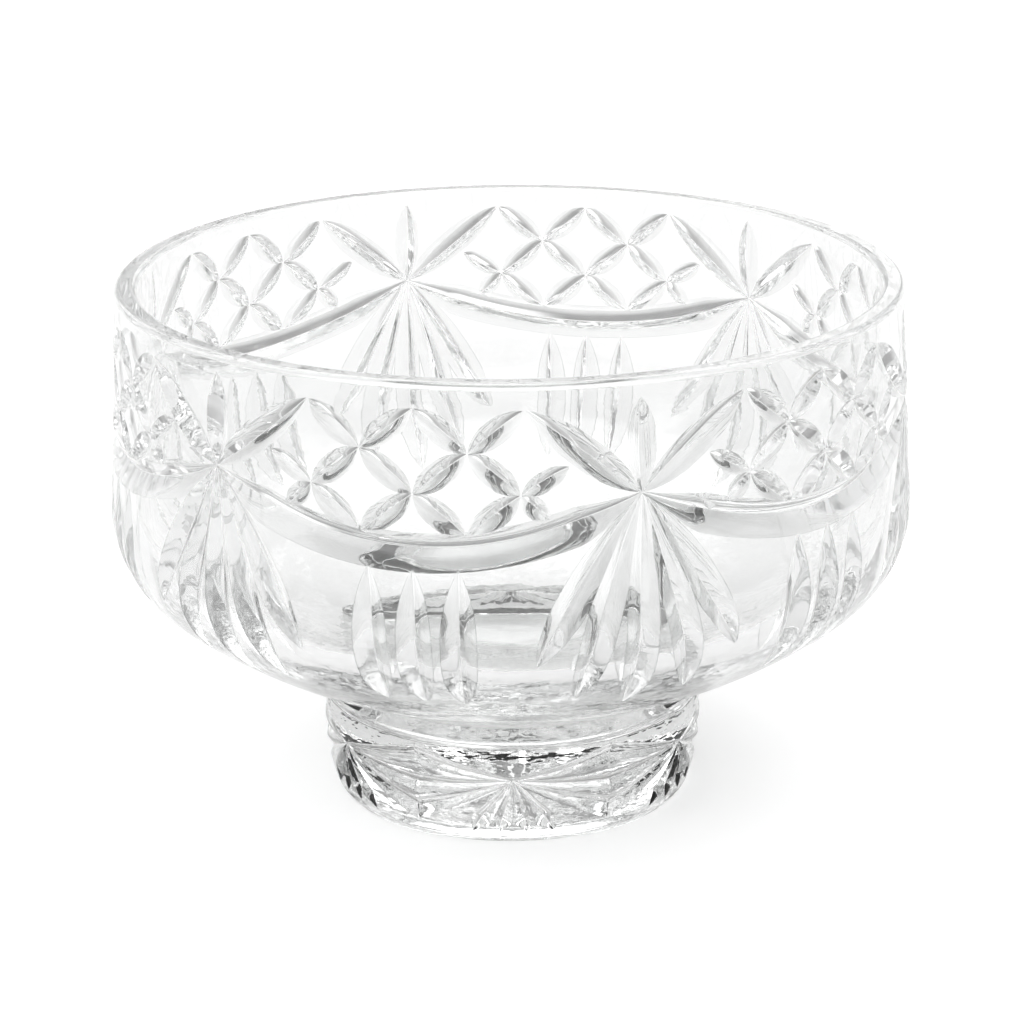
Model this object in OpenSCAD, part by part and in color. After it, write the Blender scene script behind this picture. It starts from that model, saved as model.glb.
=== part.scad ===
// Footed punch bowl in clear cut crystal.
// Units are millimetres, +Z is up, and the origin is on the bowl's axis at table level.
// The bowl, the joining disc and the foot are three separate pieces of glass, joined hot.
// The bowl rests on the ring under its foot and has no moving parts.

/* [Bowl] */
// Height of the rim above the table
bowl_h = 169.6; // [160:0.2:180]
// Largest outside radius, at the shoulder
shoulder_r = 127.5; // [122:0.5:132]
// Height of the shoulder's centre above the table
shoulder_z = 97.5; // [92:0.5:102]
// Slope of the wall between shoulder and rim, in degrees
wall_slope = 3.2; // [2:0.1:4.5]
// Thickness of the wall under the rim
wall_t = 7.2; // [6:0.1:8]
// Rounding of the rim's edges
rim_round = 2.2; // [1:0.1:2.8]
// Angle below level where the inside's shoulder runs into its round floor
in_end = 58; // [57:0.5:60]

/* [Foot] */
// Height of the foot
foot_h = 36; // [32:0.5:40]
// Radius of the foot under its shoulder
foot_r = 61.5; // [58:0.5:64]
// Radius of the ring it rests on
rest_r = 57; // [54:0.5:58]
// Depth of the hollow ground into the underside
hollow_d = 2.5; // [1:0.5:3]
// Thickness of the joining disc
disc_t = 2; // [1.5:0.5:3]
// Radius of the joining disc
disc_r = 50; // [46:1:51]

/* [Hidden] */
$fn = 96;

glass = [0.90, 0.94, 0.95, 0.55];
joint_z = foot_h + disc_t;

// Outside of the bowl: sloping wall, shoulder arc, flatter arc under the bowl.
sh_rad = 34;
sh_c = [shoulder_r - sh_rad, shoulder_z];
sh_end = 52;
un_rad = 190;
un_c = sh_c + (sh_rad - un_rad) * [cos(sh_end), -sin(sh_end)];
un_end = asin((un_c[1] - joint_z) / un_rad);
wall_top = sh_c[0] + sh_rad * cos(wall_slope)
    - (bowl_h - sh_c[1] - sh_rad * sin(wall_slope)) * tan(wall_slope);

// Inside of the bowl, the same three stretches.
in_top = wall_top - wall_t;
in_slope = wall_slope - 0.4;
in_rad = 30;
in_z = shoulder_z + 4;
in_c = [in_top + (bowl_h - in_z) * tan(in_slope) - in_rad, in_z];
fl_rad = in_rad + in_c[0] / cos(in_end);
fl_c = [0, in_c[1] + (fl_rad - in_rad) * sin(in_end)];

// The foot's side leans in to the ring it rests on.
foot_mid = 22;
foot_lip = 1.2;
side_low = 2;
side_in = foot_r - rest_r - foot_lip;
side_rad = (pow(foot_mid - side_low, 2) + side_in * side_in) / (2 * side_in);
side_c = [foot_r - side_rad, foot_mid];
side_end = asin((foot_mid - side_low) / side_rad);

// Points of an arc around c from angle a0 to a1, in n steps, measured down from +X.
function arc(c, r, a0, a1, n) = [
    for (i = [0 : n])
        let (a = a0 + (a1 - a0) * i / n)
            c + r * [cos(a), -sin(a)]
];

// A quarter round between two faces of the rim, from angle a0 to a1.
function rim_arc(x, a0, a1) = arc([x, bowl_h - rim_round], rim_round, a0, a1, 4);

module outside() {
    polygon(concat(
        [[0, joint_z]],
        arc(un_c, un_rad, un_end, sh_end, 8),
        arc(sh_c, sh_rad, sh_end - 4, -wall_slope, 12),
        rim_arc(wall_top - rim_round, 0, -90),
        [[0, bowl_h]]
    ));
}

module inside() {
    polygon(concat(
        arc(fl_c, fl_rad, 90, in_end, 12),
        arc(in_c, in_rad, in_end - 5, 0, 10),
        rim_arc(in_top + rim_round, 180, 270),
        [[in_top + rim_round, bowl_h + 5], [0, bowl_h + 5]]
    ));
}

module bowl() {
    color(glass)
        rotate_extrude()
            difference() {
                outside();
                inside();
            }
}

// Thin disc of glass that joins the bowl to the foot.
module joining_disc() {
    color(glass)
        translate([0, 0, foot_h])
            cylinder(h = disc_t, r = disc_r);
}

module foot() {
    color(glass)
        rotate_extrude()
            polygon(concat(
                [[0, hollow_d], [rest_r - 13, hollow_d], [rest_r - 10, 0], [rest_r, 0]],
                arc(side_c, side_rad, side_end, 0, 8),
                arc([foot_r - 2.4, foot_h - 3.4], 2.4, 0, -80, 5),
                [[disc_r, foot_h], [0, foot_h]]
            ));
}

bowl();
joining_disc();
foot();
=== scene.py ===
"""Footed punch bowl in clear cut crystal: the cut-glass meshes, their materials, the light and the camera."""
import math

import bpy
import numpy as np
from mathutils import Matrix, Vector


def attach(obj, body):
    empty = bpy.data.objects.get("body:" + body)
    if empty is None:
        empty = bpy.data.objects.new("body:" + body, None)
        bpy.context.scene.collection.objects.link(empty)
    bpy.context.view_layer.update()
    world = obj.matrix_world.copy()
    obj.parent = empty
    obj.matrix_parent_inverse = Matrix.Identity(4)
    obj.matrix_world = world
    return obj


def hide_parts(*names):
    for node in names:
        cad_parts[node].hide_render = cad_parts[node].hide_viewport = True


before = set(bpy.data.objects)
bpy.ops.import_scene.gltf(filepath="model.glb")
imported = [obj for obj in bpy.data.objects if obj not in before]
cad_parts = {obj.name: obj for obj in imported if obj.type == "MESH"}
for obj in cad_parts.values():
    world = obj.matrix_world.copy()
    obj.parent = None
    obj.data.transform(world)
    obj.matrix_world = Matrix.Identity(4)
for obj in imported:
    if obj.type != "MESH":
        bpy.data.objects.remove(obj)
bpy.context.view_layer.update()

MM = 0.001
TURN = 2 * math.pi

# ---------------------------------------------------------------- sizes, in millimetres, as in part.scad
RIM_Z = 169.6
JOINT_Z = 38.0
FOOT_H = 36.0
RIM_ROUND = 2.2
WALL_SLOPE = math.radians(3.2)
WALL_T = 7.2
SHOULDER_RAD = 34.0
SHOULDER_C = (93.5, 97.5)
SHOULDER_END = math.radians(52)
UNDER_RAD = 190.0
UNDER_C = (SHOULDER_C[0] + (SHOULDER_RAD - UNDER_RAD) * math.cos(SHOULDER_END),
           SHOULDER_C[1] - (SHOULDER_RAD - UNDER_RAD) * math.sin(SHOULDER_END))
UNDER_END = math.asin((UNDER_C[1] - JOINT_Z) / UNDER_RAD)
WALL_TOP = (SHOULDER_C[0] + SHOULDER_RAD * math.cos(WALL_SLOPE)
            - (RIM_Z - SHOULDER_C[1] - SHOULDER_RAD * math.sin(WALL_SLOPE)) * math.tan(WALL_SLOPE))
IN_TOP = WALL_TOP - WALL_T
IN_SLOPE = WALL_SLOPE - math.radians(0.4)
IN_RAD = 30.0
IN_Z = SHOULDER_C[1] + 4
IN_C = (IN_TOP + (RIM_Z - IN_Z) * math.tan(IN_SLOPE) - IN_RAD, IN_Z)
IN_END = math.radians(58)
FLOOR_RAD = IN_RAD + IN_C[0] / math.cos(IN_END)
FLOOR_C = (0.0, IN_C[1] + (FLOOR_RAD - IN_RAD) * math.sin(IN_END))
FLOOR_Z = FLOOR_C[1] - FLOOR_RAD

FOOT_R = 61.5
REST_R = 57.0
HOLLOW = 2.5
DISC_R = 50.0
LIP = 2.4
FUSE = 0.02  # the disc reaches this far into both neighbours, so that light passes the joints
FOOT_MID = 22.0
SIDE_LOW = 2.0
SIDE_IN = FOOT_R - REST_R - 1.2
SIDE_RAD = ((FOOT_MID - SIDE_LOW) ** 2 + SIDE_IN ** 2) / (2 * SIDE_IN)
SIDE_C = (FOOT_R - SIDE_RAD, FOOT_MID)
SIDE_END = math.asin((FOOT_MID - SIDE_LOW) / SIDE_RAD)

REPEATS = 6  # of the cut pattern, on the bowl and on the foot
PITCH = TURN / REPEATS
PHASE = math.radians(17.2)  # the first star, measured from the front
STAR_Z = 136.5  # height of the stars' centres
TURNED, FLANK, ROUND, EDGE = 0, 1, 2, 3  # kinds of face on a cut piece of glass
PAINTED_SHADE_OF = (0.0, 0.26, 0.0, 1.0)  # painted shade: how dark each kind is tinted, in that order, in place of the grey the cuts take from the light


def arc(c, r, a0, a1, n):
    """n + 1 points of an arc and their outward normals; angles go down from the +r direction."""
    out = []
    for i in range(n + 1):
        a = a0 + (a1 - a0) * i / n
        out.append(((c[0] + r * math.cos(a), c[1] - r * math.sin(a)), (math.cos(a), -math.sin(a))))
    return out


def line(p, q, n):
    """Points from p to q, both left out, with the normal on the right of the way."""
    d = math.hypot(q[0] - p[0], q[1] - p[1])
    nor = ((q[1] - p[1]) / d, -(q[0] - p[0]) / d)
    return [((p[0] + (q[0] - p[0]) * i / n, p[1] + (q[1] - p[1]) * i / n), nor) for i in range(1, n)]


def flip(pts):
    return [(p, (-n[0], -n[1])) for p, n in pts]


def bowl_profile():
    """The bowl's section from the axis under it, out and up to the rim, and back down inside."""
    under = arc(UNDER_C, UNDER_RAD, UNDER_END, SHOULDER_END, 22)
    shoulder = arc(SHOULDER_C, SHOULDER_RAD, SHOULDER_END, -WALL_SLOPE, 24)
    rim_out = arc((WALL_TOP - RIM_ROUND, RIM_Z - RIM_ROUND), RIM_ROUND, 0, -math.pi / 2, 6)
    rim_in = arc((IN_TOP + RIM_ROUND, RIM_Z - RIM_ROUND), RIM_ROUND, -math.pi / 2, -math.pi, 6)
    inner = arc(IN_C, IN_RAD, 0, IN_END, 16)
    floor = arc(FLOOR_C, FLOOR_RAD, IN_END, math.pi / 2, 24)[:-1]
    edge = under[0][0]
    pts = line((0, JOINT_Z), edge, 6) + under + shoulder[1:]
    pts += line(pts[-1][0], rim_out[0][0], 16) + rim_out
    pts += rim_in
    pts += line(rim_in[-1][0], inner[0][0], 12) + flip(inner + floor[1:])
    return pts, JOINT_Z, FLOOR_Z


def outside_at(z):
    """Radius and outward normal of the bowl's outside at height z."""
    if z > SHOULDER_C[1] + SHOULDER_RAD * math.sin(WALL_SLOPE):
        return WALL_TOP + (RIM_Z - z) * math.tan(WALL_SLOPE), (math.cos(WALL_SLOPE), math.sin(WALL_SLOPE))
    c, r = (SHOULDER_C, SHOULDER_RAD)
    if z < SHOULDER_C[1] - SHOULDER_RAD * math.sin(SHOULDER_END):
        c, r = (UNDER_C, UNDER_RAD)
    s = (c[1] - z) / r
    k = math.sqrt(max(0.0, 1 - s * s))
    return c[0] + r * k, (k, -s)


def foot_side(z):
    """Radius of the foot's side and its outward normal at height z."""
    if z >= FOOT_MID:
        return FOOT_R, (1.0, 0.0)
    s = (FOOT_MID - z) / SIDE_RAD
    k = math.sqrt(max(0.0, 1 - s * s))
    return SIDE_C[0] + SIDE_RAD * k, (k, -s)


def foot_profile():
    """The foot's section from the hollow under it, out over the resting ring and the side, to the joint."""
    side = arc(SIDE_C, SIDE_RAD, SIDE_END, 0, 14)
    lip = arc((FOOT_R - LIP, FOOT_H - LIP - 1.0), LIP, 0, -math.radians(80), 8)
    pts = line((0, HOLLOW), (REST_R - 13, HOLLOW), 6)
    pts += line((REST_R - 13, HOLLOW), (REST_R - 10, 0), 3)
    pts += [((REST_R - 10, 0), (0, -1))] + line((REST_R - 10, 0), (REST_R, 0), 3) + [((REST_R, 0), (0, -1))]
    pts += side + line(side[-1][0], lip[0][0], 6) + lip
    pts += line(lip[-1][0], (DISC_R, FOOT_H), 5) + [((DISC_R, FOOT_H), (0, 1))]
    pts += line((DISC_R, FOOT_H), (0, FOOT_H), 8)
    return pts, HOLLOW, FOOT_H


def disc_profile():
    """The joining disc's section, with a rounded rim."""
    low, high = FOOT_H - FUSE, JOINT_Z + FUSE
    mid, half = (low + high) / 2, (high - low) / 2
    pts = line((0, low), (DISC_R - half, low), 8) + [((DISC_R - half, low), (0, -1))]
    pts += arc((DISC_R - half, mid), half, math.pi / 2, -math.pi / 2, 12)
    pts += line((DISC_R - half, high), (0, high), 8)
    return pts, low, high


# ---------------------------------------------------------------- meshes
def revolve(profile, low, high, n):
    """Vertices and faces of a closed turned surface, whose section runs from the axis back to the axis."""
    a = np.arange(n) * TURN / n
    rings = [np.stack([p[0] * np.sin(a), -p[0] * np.cos(a), np.full(n, p[1])], 1) for p, _ in profile]
    m = len(rings)
    verts = np.concatenate(rings + [np.array([[0, 0, low], [0, 0, high]])])
    i = np.arange(n)
    j = (i + 1) % n
    faces = []
    for k in range(m - 1):
        faces += np.stack([k * n + i, k * n + j, (k + 1) * n + j, (k + 1) * n + i], 1).tolist()
    faces += np.stack([np.full(n, m * n), j, i], 1).tolist()
    faces += np.stack([np.full(n, m * n + 1), (m - 1) * n + i, (m - 1) * n + j], 1).tolist()
    return verts, faces


def make_object(name, verts, faces):
    mesh = bpy.data.meshes.new(name)
    mesh.from_pydata(np.asarray(verts).tolist(), [], faces)
    mesh.validate()
    obj = bpy.data.objects.new(name, mesh)
    bpy.context.scene.collection.objects.link(obj)
    return obj


def combine(obj, other, how):
    """Applies a boolean of obj with other, and removes other."""
    mod = obj.modifiers.new("cut", "BOOLEAN")
    mod.operation = how
    mod.solver = "MANIFOLD"
    mod.object = other
    deps = bpy.context.evaluated_depsgraph_get()
    mesh = bpy.data.meshes.new_from_object(obj.evaluated_get(deps))
    obj.modifiers.clear()
    old, obj.data = obj.data, mesh
    bpy.data.meshes.remove(old)
    gone = other.data
    bpy.data.objects.remove(other)
    bpy.data.meshes.remove(gone)


def at(r, a, z):
    return np.array([r * math.sin(a), -r * math.cos(a), z])


def cutter(name, crease, side, tan_up, tan_down):
    """Wheel swept along a cut: steep at the crease, flatter towards the edges, with a narrow rounded bottom.

    crease holds (angle, height, depth) of its points; side gives the surface's radius and normal at a height.
    """
    flat, lift, steps, straight = 0.16, 1.3, 4, 0.3
    surf, nor, dep = [], [], []
    for a, z, d in crease:
        r, (nr, nz) = side(z)
        surf.append(at(r, a, z))
        nor.append(np.array([nr * math.sin(a), -nr * math.cos(a), nz]))
        dep.append(d)
    surf, nor, dep = np.array(surf), np.array(nor), np.array(dep)[:, None]
    way = np.gradient(surf, axis=0)
    wide = np.cross(nor, way)
    wide /= np.linalg.norm(wide, axis=1)[:, None]
    size = np.maximum(dep, 0.08)
    level = (wide[:, :2] ** 2).sum(1)[:, None] / (2 * np.hypot(surf[:, 0], surf[:, 1]))[:, None]
    rows, kinds = [], []
    for way_out, slope in ((1, tan_up), (-1, tan_down)):
        part = []
        edge = 1 - np.minimum(0.2, 0.3 / (size * slope))
        for s in [i / steps * edge for i in range(steps + 1)] + [1.0 + 0 * edge]:
            fall = (1 - straight) * (1 - s) ** 2 + straight * (1 - s)
            part.append((flat + s * size * slope, size * (1 - fall) - dep))
        x, h = part[-1]
        part.append((x + 0.3 * slope, h + 0.2))
        part.append((x + 0.3 * slope, np.maximum(h + 0.4, lift)))
        part = [surf + wide * (way_out * u) + nor * (v - level * u * u) for u, v in part]
        names = [FLANK] * steps + [EDGE] * 3
        rows += part if way_out > 0 else part[::-1]
        kinds += names + [EDGE] if way_out > 0 else names[::-1]
    kinds.append(ROUND)
    n, m = len(crease), len(rows)
    verts = np.stack(rows, 1).reshape(-1, 3)
    faces = [list(range(m))[::-1], list(range((n - 1) * m, n * m))]
    kind = [FLANK, FLANK]
    for i in range(n - 1):
        for p in range(m):
            q = (p + 1) % m
            b, c = m * i, m * (i + 1)
            faces += [[b + p, b + q, c + q], [b + p, c + q, c + p]]
            kind += [kinds[p]] * 2
    volume = 0.0
    for f in faces:
        for k in range(1, len(f) - 1):
            volume += float(np.dot(verts[f[0]], np.cross(verts[f[k]], verts[f[k + 1]])))
    if volume < 0:
        faces = [f[::-1] for f in faces]
    obj = make_object(name, verts, faces)
    obj.data.attributes.new("kind", "INT", "FACE").data.foreach_set("value", kind)
    return obj


# ---------------------------------------------------------------- the cut pattern
HEIGHTS = np.linspace(JOINT_Z, RIM_Z, 1200)
LENGTHS = np.concatenate([[0.0], np.cumsum(np.hypot(
    np.diff([outside_at(z)[0] for z in HEIGHTS]), np.diff(HEIGHTS)))])


def spots(points, depth, n=16, over=0.03):
    """Crease through two or three (degrees, height) points, even along the wall; depth takes 0..1 along it."""
    way = [np.interp(z, HEIGHTS, LENGTHS) for _, z in points]
    out = []
    for i in range(n + 1):
        t = -over + (1 + 2 * over) * i / n
        s = way[0] + (way[-1] - way[0]) * t
        if len(points) == 2:
            a = points[0][0] + (points[1][0] - points[0][0]) * t
        else:
            m = (way[1] - way[0]) / (way[2] - way[0])
            a = (points[0][0] * (t - m) * (t - 1) / m + points[1][0] * t * (t - 1) / (m * (m - 1))
                 + points[2][0] * t * (t - m) / (1 - m))
        out.append((math.radians(a), float(np.interp(s, LENGTHS, HEIGHTS)), depth(t)))
    return out


FULL = 2.6  # above 2, a cut stays wide nearly to its tips


def run_out(deep, peak=0.5, start=0.0):
    """Depth that rises from start to deep at peak, and falls to nothing where the wheel leaves."""
    def depth(t):
        if t > peak:
            return deep * (1 - ((t - peak) / (1 - peak)) ** FULL)
        return start + (deep - start) * (1 - ((peak - t) / peak) ** FULL)
    return depth


def bowl_cuts():
    """(crease, slope of the flank above, slope of the flank below) of every cut in one sixth of the bowl."""
    flank, swag_below = 1.6, 2.1
    mid = 30.0  # degrees from a star to the middle of the swag beside it
    cuts = []
    star = [((0, STAR_Z), (0, 164.5), 2.9)]
    star += [((0, STAR_Z), (k * 15.3, 162.2), 3.1) for k in (-1, 1)]
    cuts += [(spots((p, q), run_out(d)), flank, flank) for p, q, d in star]
    fan = [((0, 133.5), (0, 114), (0, 66.5))]
    fan += [((k * 0.6, 133.5), (k * 3.5, 114), (k * 8.2, 72)) for k in (-1, 1)]
    fan += [((k * 1.2, 133.5), (k * 7.0, 114), (k * 14.0, 86)) for k in (-1, 1)]
    cuts += [(spots(p, run_out(3.1, 0.58, 0.5), 28), flank, flank) for p in fan]
    top_z, high = 162, (7.2, 149.6)
    outer, centre, low_knot = (14.1, 137.6), (0, 137.4), (7.1, 125.4)
    leaf, small_leaf = 2.5, 2.0
    for k in (-1, 1):
        for p, q, d in (
            ((14.5, top_z), high, leaf),
            ((0, top_z), high, leaf),
            (high, outer, leaf),
            (high, centre, leaf),
            (outer, low_knot, leaf),
            (centre, low_knot, leaf),
            (outer, (20.4, 145.6), small_leaf),
            (outer, (17.8, 130), small_leaf),
        ):
            ends = ((mid + k * p[0], p[1]), (mid + k * q[0], q[1]))
            cuts.append((spots(ends, run_out(d)), flank, flank))
    for k in (-1, 0, 1):
        cuts.append((spots(((mid + k * 6, 115.8), (mid + k * 5.8, 69.5)), run_out(3.1), 28), 1.7, 1.7))
    swag = []
    low, reach, steps = 121.0, 31.0, 48
    rise = (STAR_Z - low) / (1 - math.cos(math.radians(mid)))
    for i in range(steps + 1):
        a = -reach + 2 * reach * i / steps
        z = low + rise * (1 - math.cos(math.radians(a)))
        deep = 3.2 * min(1.0, (30.6 - abs(a)) / 9.0)
        swag.append((math.radians(mid + a), z, deep))
    cuts.append((swag, flank, swag_below))
    return cuts


def foot_cuts():
    """Rays that spread from the middle of each of the foot's six panels, deeper towards the next panel."""
    mid_z, half_panel, steps = 22.5, 30, 24
    shallow, deepest, side_slope, low_slope = 0.3, 2.2, 1.95, 1.6
    along = [-0.02 + 1.05 * i / steps for i in range(steps + 1)]
    cuts = []
    for k in (-1, 1):
        for z in (27.5, 18.5, 9.5):
            way = []
            for t in along:
                deep = shallow + (deepest - shallow) * t
                way.append((math.radians(k * half_panel * t), mid_z + (z - mid_z) * t, deep))
            cuts.append((way, side_slope, side_slope))
        for a, z in ((4.5, 3.5), (13, 3.5)):
            way = []
            for t in along:
                deep = shallow + 1.8 * min(1.0, t / 0.75) - 2.4 * max(0.0, t - 0.75) / 0.25
                way.append((math.radians(k * a * t), mid_z + (z - mid_z) * t, deep))
            cuts.append((way, low_slope, low_slope))
    return cuts


def pattern(cuts, side, phase, name):
    """One solid made of all the wheel cuts, repeated all the way round."""
    whole = None
    for i, (crease, up, down) in enumerate(cuts):
        one = cutter(f"{name}_{i}", crease, side, up, down)
        if whole is None:
            whole = one
        else:
            combine(whole, one, "UNION")
    ring = None
    for k in range(REPEATS):
        copy = bpy.data.objects.new(f"{name}_turn_{k}", whole.data.copy())
        bpy.context.scene.collection.objects.link(copy)
        copy.data.transform(Matrix.Rotation(phase + k * PITCH, 4, "Z"))
        if ring is None:
            ring = copy
        else:
            combine(ring, copy, "UNION")
    bpy.data.objects.remove(whole)
    return ring


def nearest(profile, points):
    """The turned surface's own normal at the place on it nearest to each point."""
    rz = np.array([p for p, _ in profile])
    nor = np.array([n for _, n in profile])
    a, b = rz[:-1], rz[1:]
    ab = b - a
    q = np.stack([np.hypot(points[:, 0], points[:, 1]), points[:, 2]], 1)
    best = np.full(len(q), np.inf)
    out = np.zeros((len(q), 2))
    for i in range(len(a)):
        t = np.clip(((q - a[i]) @ ab[i]) / max(ab[i] @ ab[i], 1e-9), 0, 1)
        gap = np.linalg.norm(q - a[i] - t[:, None] * ab[i], axis=1)
        near = gap < best
        best[near] = gap[near]
        out[near] = nor[i] + t[near, None] * (nor[i + 1] - nor[i])
    r = np.maximum(q[:, 0], 1e-6)
    full = np.stack([out[:, 0] * points[:, 0] / r, out[:, 0] * points[:, 1] / r, out[:, 1]], 1)
    return full / np.maximum(np.linalg.norm(full, axis=1), 1e-9)[:, None]


def column(items, name, width, dtype=float):
    out = np.empty(len(items) * width, dtype=dtype)
    items.foreach_get(name, out)
    return out.reshape(-1, width) if width > 1 else out


def shade(obj, profile):
    """True normals where turned, crisp flanks in the cuts, eased creases, and the painted shade of each face.
    """
    mesh = obj.data
    mesh.polygons.foreach_set("use_smooth", np.ones(len(mesh.polygons), dtype=bool))
    co = column(mesh.vertices, "co", 3)
    face_n = column(mesh.polygons, "normal", 3)
    attr = mesh.attributes.get("kind")
    kind = column(attr.data, "value", 1, int) if attr else np.zeros(len(mesh.polygons), dtype=int)
    loop_face = np.repeat(np.arange(len(mesh.polygons)), column(mesh.polygons, "loop_total", 1, int))
    loop_vert = column(mesh.loops, "vertex_index", 1, int)
    loop_edge = column(mesh.loops, "edge_index", 1, int)
    order = np.argsort(loop_edge, kind="stable")
    f0, f1 = loop_face[order[0::2]], loop_face[order[1::2]]
    side_0, side_1 = (np.where(k == EDGE, FLANK, k) for k in (kind[f0], kind[f1]))
    sharp = (side_0 != side_1) | (
        (side_0 != TURNED) & ((face_n[f0] * face_n[f1]).sum(1) < math.cos(math.radians(15))))
    flags = np.zeros(len(mesh.edges), dtype=bool)
    flags[loop_edge[order[0::2]]] = sharp
    mark = mesh.attributes.get("sharp_edge") or mesh.attributes.new("sharp_edge", "BOOLEAN", "EDGE")
    mark.data.foreach_set("value", flags)
    mesh.update()
    corner = column(mesh.corner_normals, "vector", 3)
    true_n = nearest(profile, co)
    keep = kind[loop_face] == TURNED
    corner[keep] = true_n[loop_vert[keep]]
    eased = np.flatnonzero(kind[loop_face] == ROUND)
    touch = {int(v): [] for v in loop_vert[eased]}
    for i in np.flatnonzero(kind[loop_face] != ROUND):
        if loop_vert[i] in touch:
            touch[int(loop_vert[i])].append(i)
    for i in eased:
        mine = face_n[loop_face[i]]
        near = [corner[k] for k in touch[int(loop_vert[i])] if corner[k] @ mine > 0.6]
        if near:
            total = np.sum(near, axis=0)
            corner[i] = total / np.linalg.norm(total)
    mesh.normals_split_custom_set(corner.tolist())
    # painted shade per face: the cut flanks and edges are darkened, read by the crystal material
    painted_shade = mesh.attributes.new("painted_shade", "FLOAT", "FACE")
    painted_shade.data.foreach_set("value", np.array(PAINTED_SHADE_OF)[kind])


# ---------------------------------------------------------------- materials
WALL_TINT_AND_PAINTED_SHADE = (0.915, 0.918, 0.917, 1)  # glass tint with painted shade: the wall is tinted a little more than the base, which shows lighter
BASE_CLEAR = (0.985, 0.987, 0.986, 1)
# painted shade: the dark grey that the cut faces are tinted towards, in place of the shade light gives them in
# the cuts
CUT_PAINTED_SHADE = (0.42, 0.43, 0.425, 1)
WALL_FROM, BASE_TO = 0.105, 0.060  # heights in metres between which wall passes into base
IOR = 1.545


def colour_mix(nt, factor, first, second):
    """Mix of two colours, where first is a colour or a socket."""
    mix = nt.nodes.new("ShaderNodeMix")
    mix.data_type = "RGBA"
    nt.links.new(factor, mix.inputs["Factor"])
    if isinstance(first, tuple):
        mix.inputs["A"].default_value = first
    else:
        nt.links.new(first, mix.inputs["A"])
    mix.inputs["B"].default_value = second
    return mix.outputs["Result"]


def map_range(nt, value, low, high, to_low=0.0, to_high=1.0, smooth=False):
    node = nt.nodes.new("ShaderNodeMapRange")
    if smooth:
        node.interpolation_type = "SMOOTHSTEP"
    node.inputs["From Min"].default_value = low
    node.inputs["From Max"].default_value = high
    node.inputs["To Min"].default_value = to_low
    node.inputs["To Max"].default_value = to_high
    nt.links.new(value, node.inputs["Value"])
    return node.outputs["Result"]


def noise(nt, vector, scale, detail, seed=None):
    node = nt.nodes.new("ShaderNodeTexNoise")
    node.inputs["Scale"].default_value = scale
    node.inputs["Detail"].default_value = detail
    if seed is not None:
        node.noise_dimensions = "4D"
        node.inputs["W"].default_value = seed
    nt.links.new(vector, node.inputs["Vector"])
    return node.outputs["Fac"]


def multiply_add(nt, *values):
    node = nt.nodes.new("ShaderNodeMath")
    node.operation = "MULTIPLY_ADD"
    for socket, value in zip(node.inputs, values):
        if isinstance(value, float):
            socket.default_value = value
        else:
            nt.links.new(value, socket)
    return node.outputs["Value"]


def crystal(name, wave_mm, seed):
    """Polished lead crystal: clear, with the faint waviness and rub marks of hand polishing, painted shade on
    the cut faces and a darker painted tint on the wall.
    """
    mat = bpy.data.materials.new(name)
    mat.use_nodes = True
    nt = mat.node_tree
    bsdf = nt.nodes["Principled BSDF"]
    bsdf.inputs["Transmission Weight"].default_value = 1.0
    bsdf.inputs["IOR"].default_value = IOR

    place = nt.nodes.new("ShaderNodeTexCoord").outputs["Object"]
    axes = nt.nodes.new("ShaderNodeSeparateXYZ")
    nt.links.new(place, axes.inputs["Vector"])
    low = map_range(nt, axes.outputs["Z"], WALL_FROM, BASE_TO, smooth=True)

    # painted shade on the cut faces, mixed into the glass colour
    painted_shade = nt.nodes.new("ShaderNodeAttribute")
    painted_shade.attribute_name = "painted_shade"
    # glass tint, darker on the wall than in the base as painted shade
    clear = colour_mix(nt, low, WALL_TINT_AND_PAINTED_SHADE, BASE_CLEAR)
    nt.links.new(colour_mix(nt, painted_shade.outputs["Fac"], clear, CUT_PAINTED_SHADE), bsdf.inputs["Base Color"])

    # Broad waves all over, and finer ripples that lie level and show mostly in the base
    wave = noise(nt, place, 1000.0 / wave_mm, 1.0, seed)
    level = nt.nodes.new("ShaderNodeMapping")
    level.inputs["Scale"].default_value = (1.0, 1.0, 2.6)
    nt.links.new(place, level.inputs["Vector"])
    ripple = noise(nt, level.outputs["Vector"], 120.0, 2.0)
    strength = multiply_add(nt, low, 1.1, 0.1)
    bump = nt.nodes.new("ShaderNodeBump")
    bump.inputs["Strength"].default_value = 0.25
    bump.inputs["Distance"].default_value = 0.0006
    nt.links.new(multiply_add(nt, ripple, strength, wave), bump.inputs["Height"])
    nt.links.new(bump.outputs["Normal"], bsdf.inputs["Normal"])

    rub = noise(nt, place, 90.0, 4.0)
    nt.links.new(map_range(nt, rub, 0.45, 0.85, 0.0, 0.05), bsdf.inputs["Roughness"])

    body = nt.nodes.new("ShaderNodeVolumeAbsorption")
    body.inputs["Color"].default_value = (0.90, 0.903, 0.901, 1)
    body.inputs["Density"].default_value = 6.0
    nt.links.new(body.outputs["Volume"], nt.nodes["Material Output"].inputs["Volume"])
    return mat


def finish_piece(obj, profile, mat, node):
    """Normals, scale, material and the tie to the CAD model."""
    shade(obj, profile)
    obj.data.materials.clear()
    obj.data.materials.append(mat)
    obj.data.transform(Matrix.Scale(MM, 4))
    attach(obj, "root")
    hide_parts(node)


def turned(name, section, n):
    profile, low, high = section
    ends = [((0, low), profile[0][1])], [((0, high), profile[-1][1])]
    return make_object(name, *revolve(profile, low, high, n)), ends[0] + profile + ends[1]


bowl, bowl_line = turned("bowl_glass", bowl_profile(), 360)
combine(bowl, pattern(bowl_cuts(), outside_at, PHASE, "cut"), "DIFFERENCE")
finish_piece(bowl, bowl_line, crystal("bowl_crystal", 22.0, 1.0), "bowl")

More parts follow.
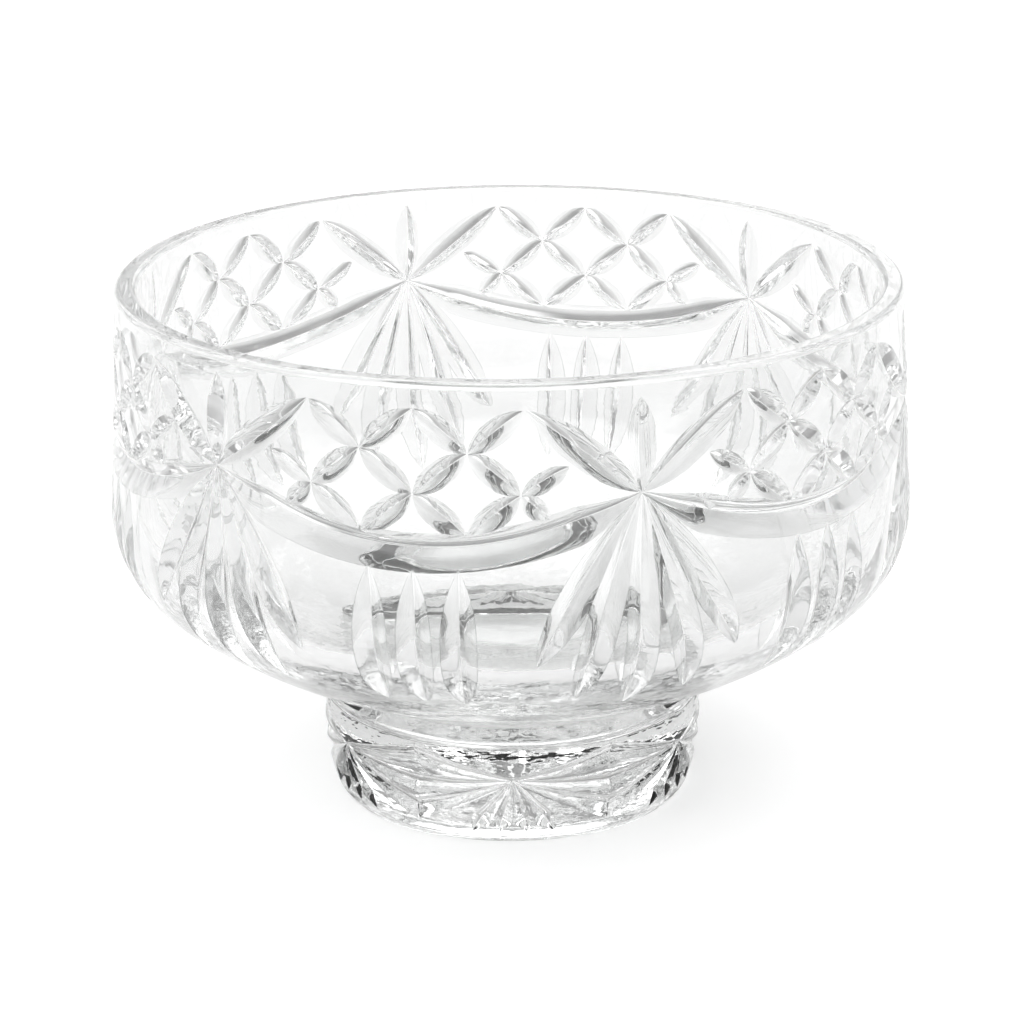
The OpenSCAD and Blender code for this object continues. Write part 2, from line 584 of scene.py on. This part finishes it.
disc, disc_line = turned("joining_disc_glass", disc_profile(), 240)
finish_piece(disc, disc_line, crystal("joint_crystal", 14.0, 2.0), "joining_disc")

foot, foot_line = turned("foot_glass", foot_profile(), 360)
combine(foot, pattern(foot_cuts(), foot_side, 0.0, "ray"), "DIFFERENCE")
finish_piece(foot, foot_line, crystal("foot_crystal", 18.0, 3.0), "foot")

# ---------------------------------------------------------------- floor and light
SKY = 1.05  # with the floor's own lift, brings the bare floor up to white
FLOOR_LIFT = 0.14  # glow towards the camera only, which keeps the far edge of the shadow white


def make_floor():
    """A flat paper floor in rings that widen outwards, too far out for its edge to show."""
    radii, n = (0.1, 0.3, 0.8, 2.0, 6.0, 30.0), 96
    verts = [(0, 0, 0)]
    for r in radii:
        verts += [(r * math.cos(TURN * i / n), r * math.sin(TURN * i / n), 0) for i in range(n)]
    faces = [(0, 1 + i, 1 + (i + 1) % n) for i in range(n)]
    for m in range(len(radii) - 1):
        a = 1 + n * m
        for i in range(n):
            j = (i + 1) % n
            faces.append((a + i, a + n + i, a + n + j, a + j))
    floor = make_object("studio_floor", verts, faces)
    mat = bpy.data.materials.new("studio_paper")
    mat.use_nodes = True
    bsdf = mat.node_tree.nodes["Principled BSDF"]
    bsdf.inputs["Base Color"].default_value = (0.93, 0.93, 0.93, 1)
    bsdf.inputs["Roughness"].default_value = 0.9
    bsdf.inputs["Specular IOR Level"].default_value = 0.1
    bsdf.inputs["Emission Color"].default_value = (1, 1, 1, 1)
    path = mat.node_tree.nodes.new("ShaderNodeLightPath")
    lift = mat.node_tree.nodes.new("ShaderNodeMath")
    lift.operation = "MULTIPLY"
    lift.inputs[1].default_value = FLOOR_LIFT
    mat.node_tree.links.new(path.outputs["Is Camera Ray"], lift.inputs[0])
    mat.node_tree.links.new(lift.outputs["Value"], bsdf.inputs["Emission Strength"])
    floor.data.materials.append(mat)


make_floor()


def studio_world():
    """A white room for the eye, a soft sky for the floor, and lamps with dark between them for the glass."""
    world = bpy.data.worlds.new("studio")
    bpy.context.scene.world = world
    world.use_nodes = True
    nt = world.node_tree

    def math_node(kind, *values):
        node = nt.nodes.new("ShaderNodeMath")
        node.operation = kind
        for i, v in enumerate(values):
            if isinstance(v, (int, float)):
                node.inputs[i].default_value = v
            else:
                nt.links.new(v, node.inputs[i])
        return node.outputs[0]

    place = nt.nodes.new("ShaderNodeTexCoord")
    axes = nt.nodes.new("ShaderNodeSeparateXYZ")
    nt.links.new(place.outputs["Generated"], axes.inputs["Vector"])
    x, y, z = axes.outputs
    ramp = nt.nodes.new("ShaderNodeValToRGB")
    nt.links.new(z, ramp.inputs["Fac"])
    el = ramp.color_ramp.elements
    stops = ((0.0, 0.9), (0.06, 0.8), (0.16, 0.4), (0.66, 0.4), (0.76, 2.4), (1.0, 3.0))
    el[0].position, el[0].color = stops[0][0], (stops[0][1],) * 3 + (1,)
    el[1].position, el[1].color = stops[-1][0], (stops[-1][1],) * 3 + (1,)
    for p, v in stops[1:-1]:
        el.new(p).color = (v, v, v, 1)
    turn = math_node("ARCTAN2", x, y)
    wave = math_node("SINE", math_node("MULTIPLY", turn, 8.0))
    lamp = nt.nodes.new("ShaderNodeMapRange")
    lamp.interpolation_type = "SMOOTHSTEP"
    lamp.inputs["From Min"].default_value = 0.35
    lamp.inputs["From Max"].default_value = 0.75
    nt.links.new(wave, lamp.inputs["Value"])
    band = nt.nodes.new("ShaderNodeMapRange")
    band.interpolation_type = "SMOOTHSTEP"
    band.inputs["From Min"].default_value = 0.30
    band.inputs["From Max"].default_value = 0.24
    nt.links.new(math_node("ABSOLUTE", math_node("SUBTRACT", z, 0.42)), band.inputs["Value"])
    lamps = math_node("MULTIPLY", math_node("MULTIPLY", lamp.outputs[0], band.outputs[0]), 1.1)
    seen = math_node("ADD", ramp.outputs["Color"], lamps)
    sky = math_node("MULTIPLY", math_node("SUBTRACT", 1.35, math_node("MULTIPLY", z, 0.7)),
                    math_node("SUBTRACT", 1.0, math_node("ADD", math_node("MULTIPLY", x, 0.55),
                                                         math_node("MULTIPLY", y, 0.6))))
    path = nt.nodes.new("ShaderNodeLightPath")
    both = nt.nodes.new("ShaderNodeMix")
    nt.links.new(math_node("MINIMUM", path.outputs["Diffuse Depth"], 1.0), both.inputs["Factor"])
    nt.links.new(seen, both.inputs["A"])
    nt.links.new(math_node("MULTIPLY", sky, SKY), both.inputs["B"])
    final = nt.nodes.new("ShaderNodeMix")
    nt.links.new(path.outputs["Is Camera Ray"], final.inputs["Factor"])
    nt.links.new(both.outputs["Result"], final.inputs["A"])
    final.inputs["B"].default_value = 1.0
    back = nt.nodes["Background"]
    nt.links.new(final.outputs["Result"], back.inputs["Color"])
    back.inputs["Strength"].default_value = 1.0


studio_world()


# ---------------------------------------------------------------- camera
def make_camera():
    """Camera at the front, looking down at the bowl; angles in radians, place in metres."""
    pitch, yaw, roll = 0.33057, 0.00034, -0.00758
    away, height = -0.95345, 0.41705
    fw = Vector((math.sin(yaw) * math.cos(pitch), math.cos(yaw) * math.cos(pitch), -math.sin(pitch)))
    right = Vector((math.cos(yaw), -math.sin(yaw), 0))
    up = right.cross(fw)
    x = right * math.cos(roll) + up * math.sin(roll)
    y = up * math.cos(roll) - right * math.sin(roll)
    data = bpy.data.cameras.new("camera")
    data.sensor_width = 36.0
    data.lens = 109.93
    data.clip_end = 100.0
    cam = bpy.data.objects.new("camera", data)
    cam.matrix_world = Matrix((
        (x[0], y[0], -fw[0], 0.0),
        (x[1], y[1], -fw[1], away),
        (x[2], y[2], -fw[2], height),
        (0, 0, 0, 1),
    ))
    bpy.context.scene.collection.objects.link(cam)
    bpy.context.scene.camera = cam


make_camera()
bpy.context.scene.view_settings.view_transform = "Standard"
BOUNCES = 40  # thick cut glass passes light on many times before it comes out
light_paths = bpy.context.scene.cycles
light_paths.max_bounces = BOUNCES
light_paths.transmission_bounces = BOUNCES
light_paths.glossy_bounces = BOUNCES
light_paths.blur_glossy = 0.0
